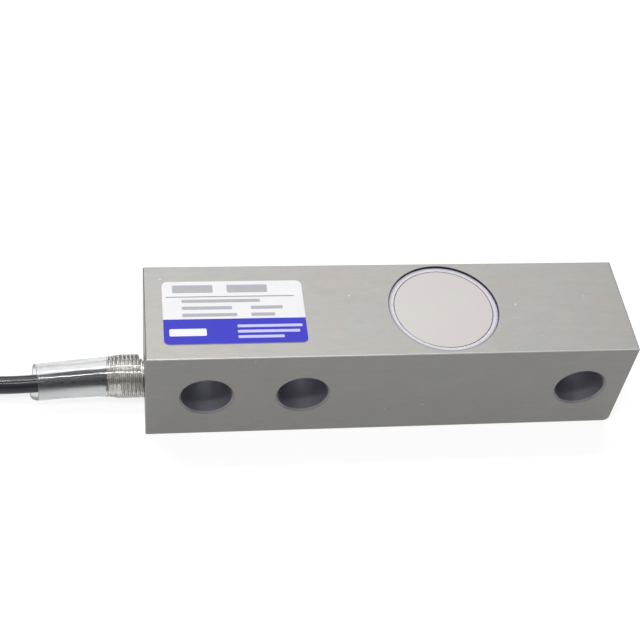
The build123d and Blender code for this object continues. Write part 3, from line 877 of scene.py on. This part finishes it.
def label_print():
    """Fields of colour where the label's print is: a blue foot, a rule and plain bars."""
    inset = 0.00002
    left_edge = (label_low.x - label_high.x) / 2 + inset
    low_edge = (label_low.y - label_high.y) / 2 + inset
    foot_top = -0.00235
    foot_corner = 0.0015
    print_field("label_foot", blue_ink, left_edge, -left_edge, low_edge, foot_top, foot_corner,
                square_top=True)
    print_field("label_rule", grey_ink, -0.0175, 0.0161, 0.00515, 0.00545, 0.00008)
    for place, (left, right) in enumerate(((-0.0158, -0.0052), (-0.0015, 0.0092))):
        print_field(f"heading_bar_{place + 1}", pale_ink, left, right, 0.0067, 0.0094, 0.0003)

    # Rows of plain bars: the height of each row's middle, and where its bars begin and end
    rows = ((0.0038, ((-0.0135, 0.0070),)),
            (0.0014, ((-0.0135, -0.0005), (0.0044, 0.0128))),
            (-0.0010, ((-0.0135, 0.0007), (0.0044, 0.0106))))
    half_bar = 0.00055
    bar_corner = 0.0002
    for row, (middle, bars) in enumerate(rows):
        for place, (left, right) in enumerate(bars):
            print_field(f"text_bar_{row + 1}_{place + 1}", pale_ink, left, right,
                        middle - half_bar, middle + half_bar, bar_corner)

    # On the blue foot
    print_field("foot_bar", white_ink, -0.0170, -0.0075, -0.0080, -0.0056, 0.0004, level=1)
    line_left = 0.0005
    half_line = 0.00045
    for row, right in enumerate((0.0174, 0.0166, 0.0124)):
        middle = -0.0049 - 0.0018 * row
        print_field(f"foot_line_{row + 1}", lilac_ink, line_left, right,
                    middle - half_line, middle + half_line, bar_corner, level=1)


cable = lay_cable()
side_tie = tie_band("side_tie_band", "side_tie", (pi / 2, 0, pi / 2))
end_tie = tie_band("end_tie_band", "end_tie", (pi / 2, 0, pi))
on_cable = [side_tie, end_tie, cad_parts["shrink_sleeve"]]
on_cable += [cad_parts[name] for name in sorted(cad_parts) if name.startswith("lead_")]
threaded_nipple()
clear_tube()
weld_bead("front_weld_run", "front_cover_weld", flip=False)
weld_bead("rear_weld_run", "rear_cover_weld", flip=True)
label_print()

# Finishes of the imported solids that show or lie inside
finish_node("beam_body", steel)
finish_node("front_cover", disc_steel)
finish_node("rear_cover", disc_steel)
finish_node("rating_label", film)
finish_node("gland_seal", seal_rubber)
finish_node("shrink_sleeve", shrink)
wire_tones = {
    "green": ("#1C6A34", "#2A7C42"), "yellow": ("#D8B820", "#E6C93A"), "red": ("#A81E1E", "#BE2C2A"),
    "shield": ("#9A9A9C", "#C2C2C4"), "white": ("#DCDCD8", "#ECECE8"), "black": ("#18181A", "#26262A"),
    "blue": ("#1E3E96", "#2C50AC"),
}
for colour, (dark, light) in wire_tones.items():
    lead = f"lead_{colour}"
    bare_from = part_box(lead)[0].x + bare_tip
    finish_node(lead, wire_cover(f"{colour} PVC lead", dark, light, bare_from))
    if colour != "shield":
        finish_node(f"core_{colour}", wire_cover(f"{colour} PVC core", dark, light))
gauge_film = plain_grained("polyimide and constantan foil", "#A8651E", "#C98A35", 0.3, 0.35, 6.0)
strip_laminate = plain_grained("glass-epoxy strip", "#9A7B3C", "#B4964E", 0.0, 0.5, 5.0)
board = plain_grained("green glass-epoxy board", "#1A5A30", "#27703E", 0.0, 0.4, 5.0)
ceramic = plain_grained("chip resistor ceramic", "#1C1C1E", "#303034", 0.0, 0.35, 8.0)
enamel = plain_grained("enamelled copper", "#8E4A22", "#B4693A", 0.9, 0.3, 6.0)
for side in ("front", "rear"):
    finish_node(f"{side}_gauge", gauge_film)
    finish_node(f"{side}_terminals", strip_laminate)
    for place in range(4):
        finish_node(f"jumper_{side}_{place + 1}", enamel)
finish_node("bridge_board", board)
for use in ("zero", "span", "balance"):
    finish_node(f"{use}_resistor", ceramic)


def seen_rays(tree):
    """1 for rays of the camera, of gloss and of clear materials, else 0."""
    path = add_node(tree, "ShaderNodeLightPath")
    seen = maths(tree, "ADD", path.outputs["Is Camera Ray"], path.outputs["Is Glossy Ray"])
    seen = maths(tree, "ADD", seen, path.outputs["Is Transmission Ray"])
    return maths(tree, "MINIMUM", seen, 1.0)


def pale_floor():
    """A white floor that keeps a faint shadow and shows as pure white elsewhere."""
    below_part = 0.00005
    bpy.ops.mesh.primitive_plane_add(size=6.0, location=(0, 0, -below_part))
    floor = bpy.context.object
    floor.name = "floor"
    material = bpy.data.materials.new("white studio floor")
    material.use_nodes = True
    tree = material.node_tree
    tree.nodes.clear()
    lit = add_node(tree, "ShaderNodeBsdfDiffuse", {"Color": linear("#E0E0E0")})
    faint = add_node(tree, "ShaderNodeBsdfDiffuse", {"Color": (0.28, 0.28, 0.28, 1)})
    glow = add_node(tree, "ShaderNodeEmission", {"Color": (1, 1, 1, 1), "Strength": 0.83})
    white = add_node(tree, "ShaderNodeAddShader", {0: faint.outputs[0], 1: glow.outputs[0]})
    choice = add_node(
        tree, "ShaderNodeMixShader", {0: seen_rays(tree), 1: lit.outputs[0], 2: white.outputs[0]}
    )
    add_node(tree, "ShaderNodeOutputMaterial", {"Surface": choice.outputs[0]})
    floor.data.materials.append(material)


def studio_world():
    """White where it is seen, a soft grey light elsewhere. Gloss also shows the room's darker
    walls, low down between the white floor and the white ceiling."""
    world = bpy.data.worlds.new("studio")
    bpy.context.scene.world = world
    world.use_nodes = True
    tree = world.node_tree
    tree.nodes.clear()
    way = add_node(tree, "ShaderNodeTexCoord").outputs["Generated"]
    rise = add_node(tree, "ShaderNodeSeparateXYZ", {"Vector": way}).outputs["Z"]
    walls = ranged(tree, rise, 0.5, 1.0, 0.45, 0.8)
    glossy = add_node(tree, "ShaderNodeLightPath").outputs["Is Glossy Ray"]
    strength = maths(tree, "MAXIMUM", walls, maths(tree, "SUBTRACT", 1.0, glossy))
    soft = add_node(tree, "ShaderNodeBackground", {"Color": (1, 1, 1, 1), "Strength": 0.15})
    white = add_node(tree, "ShaderNodeBackground", {"Color": (1, 1, 1, 1), "Strength": strength})
    choice = add_node(
        tree, "ShaderNodeMixShader", {0: seen_rays(tree), 1: soft.outputs[0], 2: white.outputs[0]}
    )
    add_node(tree, "ShaderNodeOutputWorld", {"Surface": choice.outputs[0]})


def soft_lamp(name, place, target, size, power):
    """A soft lamp of a given length and width at place, turned to target."""
    bpy.ops.object.light_add(type="AREA", location=place)
    lamp = bpy.context.object
    lamp.name = name
    lamp.data.shape = "RECTANGLE"
    lamp.data.size, lamp.data.size_y = size
    lamp.data.energy = power
    lamp.rotation_euler = (Vector(target) - Vector(place)).to_track_quat("-Z", "Y").to_euler()


pale_floor()
studio_world()
soft_lamp("softbox_over", (0.08, 0.57, 0.71), (0.03, 0, 0.02), (1.0, 1.0), 5.3)
soft_lamp("softbox_left", (-0.75, -0.35, 0.55), (0.0, 0, 0.01), (0.5, 0.5), 1.5)
# Two tubes along the cable, which draw its two bright lines
for name, y, z in (("tube_lamp_near", -0.263, 0.867), ("tube_lamp_far", 0.293, 0.857)):
    soft_lamp(name, (-0.2, y, z), (-0.2, 0, 0.006), (0.4, 0.04), 2.26)
